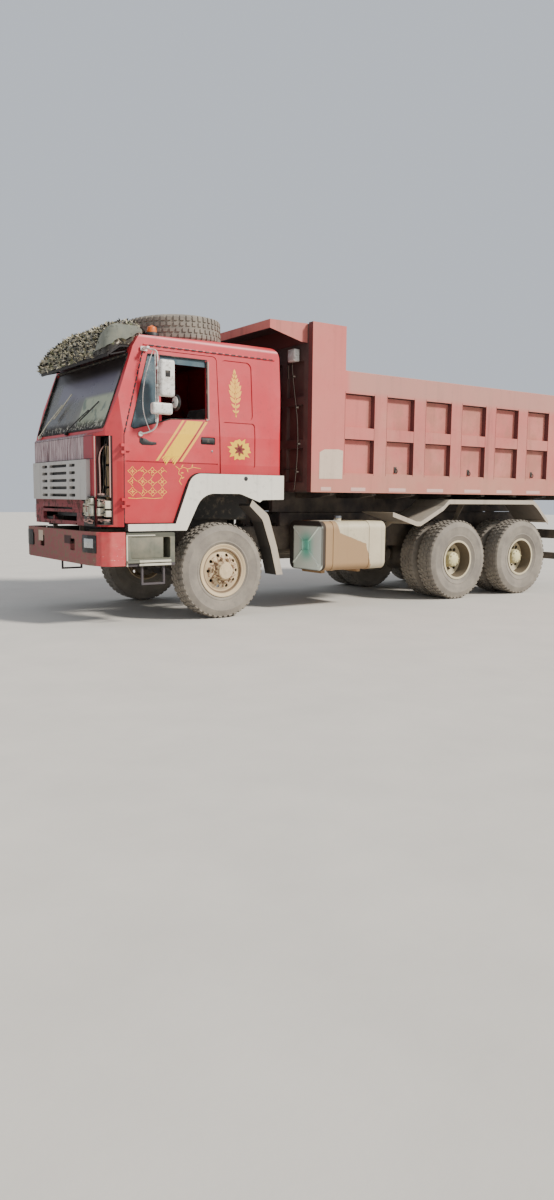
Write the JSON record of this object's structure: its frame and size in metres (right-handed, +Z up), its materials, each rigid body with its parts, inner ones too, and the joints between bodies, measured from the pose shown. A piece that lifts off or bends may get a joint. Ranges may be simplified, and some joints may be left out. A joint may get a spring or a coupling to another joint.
{
  "type": "dump truck",
  "caption": "Cab-over heavy dump truck with a tilting sleeper cab, opening doors, steered front wheels, dual rear wheels, and a ribbed load body raised by a front hoist.",
  "frame": {"origin": "on the ground under the centre of the bounding box", "axes": "+X forward, +Y to the left side, +Z up"},
  "size_m": [8.498, 2.764, 3.4848],
  "materials": {
    "frame": "matt dusty",
    "cab_red": "faded gloss",
    "cream": "worn satin",
    "bed_pink": "dusty matt",
    "tyre": "dusty",
    "rim": "worn satin",
    "glass": "dusty",
    "dark_plastic": "matt",
    "trim_fabric": "worn",
    "leaf_cloth": "dusty",
    "engine_iron": "oily",
    "tank_green": "dusty",
    "guard_grey": "dusty",
    "bumper_red": "grimy",
    "beacon_orange": "gloss",
    "mirror_white": "satin",
    "hoist_steel": "greasy"
  },
  "bodies": {
    "chassis": {"air_tanks": "frame", "bumper": "bumper_red", "drive_line": "engine_iron", "engine": "engine_iron", "entry_steps": "cream", "frame_rails": "frame", "front_axle": "frame", "fuel_tank": "tank_green", "hoist_base": "frame", "mudguards": "guard_grey", "rear_axles": "frame", "rear_bar": "frame", "springs": "frame", "sub_frame": "frame"},
    "cab": {"cab_roof": "cab_red", "cab_back": "cab_red", "cab_sides": "cab_red", "cab_front": "cab_red", "grille": "cream", "windscreen": "glass", "cab_arches": "cream", "cab_floor": "dark_plastic", "dashboard": "dark_plastic", "seats": "trim_fabric", "visor": "cab_red", "visor_cover": "leaf_cloth", "beacon": "beacon_orange", "roof_tyre": "tyre"},
    "door_left": {"door_left": "cab_red", "glass_left": "glass", "mirror_left": "mirror_white"},
    "door_right": {"door_right": "cab_red", "glass_right": "glass", "mirror_right": "mirror_white"},
    "knuckle_left": {"knuckle_left": "frame"},
    "knuckle_right": {"knuckle_right": "frame"},
    "tie_rod": {"tie_rod": "frame"},
    "bed": {"bed_floor": "bed_pink", "bed_sides": "bed_pink", "bed_front": "bed_pink", "canopy": "bed_pink"},
    "tailgate": {"tailgate": "bed_pink"},
    "hoist_barrel": {"hoist_barrel": "frame"},
    "hoist_stage_1": {"hoist_stage_1": "hoist_steel"},
    "hoist_stage_2": {"hoist_stage_2": "hoist_steel"},
    "hoist_stage_3": {"hoist_stage_3": "hoist_steel"},
    "hoist_stage_4": {"hoist_stage_4": "hoist_steel"},
    "wheel_front_left": {"rim_front_left": "rim", "tyre_front_left": "tyre"},
    "wheel_front_right": {"rim_front_right": "rim", "tyre_front_right": "tyre"},
    "wheel_mid_left": {"rim_mid_left": "rim", "tyre_mid_left": "tyre"},
    "wheel_mid_right": {"rim_mid_right": "rim", "tyre_mid_right": "tyre"},
    "wheel_rear_left": {"rim_rear_left": "rim", "tyre_rear_left": "tyre"},
    "wheel_rear_right": {"rim_rear_right": "rim", "tyre_rear_right": "tyre"}
  },
  "joints": [
    {"name": "steer_left", "type": "hinge", "parent": "chassis", "child": "knuckle_left", "pos_m": [2.69, 0.745, 0.555], "axis": [0, 0, 1], "range_deg": [-35, 35]},
    {"name": "steer_right", "type": "hinge", "parent": "chassis", "child": "knuckle_right", "pos_m": [2.69, -0.745, 0.555], "axis": [0, 0, 1], "range_deg": [-35, 35]},
    {"name": "tie_rod_turn", "type": "hinge", "parent": "knuckle_left", "child": "tie_rod", "pos_m": [2.5, 0.745, 0.49], "axis": [0, 0, 1], "range_deg": [-35, 35]},
    {"name": "wheel_front_left_spin", "type": "hinge", "parent": "knuckle_left", "child": "wheel_front_left", "pos_m": [2.69, 1.011, 0.555], "axis": [0, 1, 0], "continuous": true},
    {"name": "wheel_front_right_spin", "type": "hinge", "parent": "knuckle_right", "child": "wheel_front_right", "pos_m": [2.69, -1.011, 0.555], "axis": [0, 1, 0], "continuous": true},
    {"name": "wheel_mid_left_spin", "type": "hinge", "parent": "chassis", "child": "wheel_mid_left", "pos_m": [-1.135, 0.915, 0.555], "axis": [0, 1, 0], "continuous": true},
    {"name": "wheel_mid_right_spin", "type": "hinge", "parent": "chassis", "child": "wheel_mid_right", "pos_m": [-1.135, -0.915, 0.555], "axis": [0, 1, 0], "continuous": true},
    {"name": "wheel_rear_left_spin", "type": "hinge", "parent": "chassis", "child": "wheel_rear_left", "pos_m": [-2.485, 0.915, 0.555], "axis": [0, 1, 0], "continuous": true},
    {"name": "wheel_rear_right_spin", "type": "hinge", "parent": "chassis", "child": "wheel_rear_right", "pos_m": [-2.485, -0.915, 0.555], "axis": [0, 1, 0], "continuous": true},
    {"name": "cab_tilt", "type": "hinge", "parent": "chassis", "child": "cab", "pos_m": [4.12, 0, 1.1], "axis": [0, 1, 0], "range_deg": [0, 40]},
    {"name": "door_left_swing", "type": "hinge", "parent": "cab", "child": "door_left", "pos_m": [3.923, 1.166, 1.9], "axis": [0, 0, -1], "range_deg": [0, 65]},
    {"name": "door_right_swing", "type": "hinge", "parent": "cab", "child": "door_right", "pos_m": [3.923, -1.166, 1.9], "axis": [0, 0, 1], "range_deg": [0, 65]},
    {"name": "bed_tip", "type": "hinge", "parent": "chassis", "child": "bed", "pos_m": [-3.61, 0, 1.12], "axis": [0, -1, 0], "range_deg": [0, 45]},
    {"name": "tailgate_swing", "type": "hinge", "parent": "bed", "child": "tailgate", "pos_m": [-4.172, 0, 3.01], "axis": [0, 1, 0], "range_deg": [0, 60]},
    {"name": "hoist_tilt", "type": "hinge", "parent": "chassis", "child": "hoist_barrel", "pos_m": [1.69, 0, 1], "axis": [0, -1, 0], "range_deg": [0, 31]},
    {"name": "hoist_stage_1_slide", "type": "slide", "parent": "hoist_barrel", "child": "hoist_stage_1", "axis": [0, 0, 1], "range_m": [0, 1]},
    {"name": "hoist_stage_2_slide", "type": "slide", "parent": "hoist_stage_1", "child": "hoist_stage_2", "axis": [0, 0, 1], "range_m": [0, 1]},
    {"name": "hoist_stage_3_slide", "type": "slide", "parent": "hoist_stage_2", "child": "hoist_stage_3", "axis": [0, 0, 1], "range_m": [0, 1]},
    {"name": "hoist_stage_4_slide", "type": "slide", "parent": "hoist_stage_3", "child": "hoist_stage_4", "axis": [0, 0, 1], "range_m": [0, 1]}
  ],
  "couplings": [
    {"joint": "steer_right", "follows": "steer_left", "ratio": 1},
    {"joint": "tie_rod_turn", "follows": "steer_left", "ratio": -1},
    {"joint": "hoist_tilt", "follows": "bed_tip", "ratio": 0.65},
    {"joint": "hoist_stage_1_slide", "follows": "bed_tip", "m_per_rad": 1.254},
    {"joint": "hoist_stage_2_slide", "follows": "bed_tip", "m_per_rad": 1.254},
    {"joint": "hoist_stage_3_slide", "follows": "bed_tip", "m_per_rad": 1.254},
    {"joint": "hoist_stage_4_slide", "follows": "bed_tip", "m_per_rad": 1.254}
  ]
}
